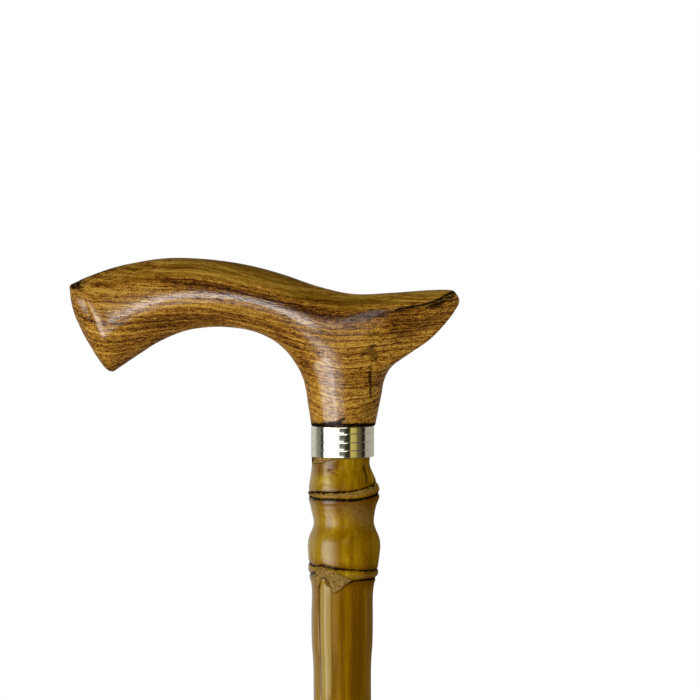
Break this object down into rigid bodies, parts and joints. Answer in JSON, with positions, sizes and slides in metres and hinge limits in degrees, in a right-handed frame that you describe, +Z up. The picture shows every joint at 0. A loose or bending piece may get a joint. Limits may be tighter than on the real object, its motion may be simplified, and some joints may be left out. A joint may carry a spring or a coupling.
{
  "type": "walking stick",
  "caption": "Walking stick with a scorched beech derby handle, a grooved metal collar, a lacquered bamboo culm and a rubber ferrule that pulls off its foot.",
  "frame": {"origin": "middle of the ferrule's flat base, on the ground", "axes": "+Z up along the stick, +X towards the tail of the handle, -X towards its nose, -Y towards the picture's camera"},
  "size_m": [0.1391, 0.033, 0.92],
  "materials": {
    "beech": "scorched in dark streaks and varnished glossy",
    "collar_metal": "turned and polished, pale gilt",
    "bamboo": "root-end bamboo with dark node creases under clear lacquer",
    "dowel_wood": "bare hardwood dowel",
    "steel": "zinc plated",
    "rubber": "moulded, matt black"
  },
  "bodies": {
    "stick": {"handle": "beech", "collar": "collar_metal", "dowel_screw": "steel", "top_plug": "dowel_wood", "culm": "bamboo", "foot_plug": "dowel_wood"},
    "ferrule": {"ferrule": "rubber", "ferrule_washer": "steel"}
  },
  "joints": [
    {"name": "ferrule_pull", "type": "slide", "parent": "stick", "child": "ferrule", "axis": [0, 0, -1], "range_m": [0, 0.05]}
  ]
}
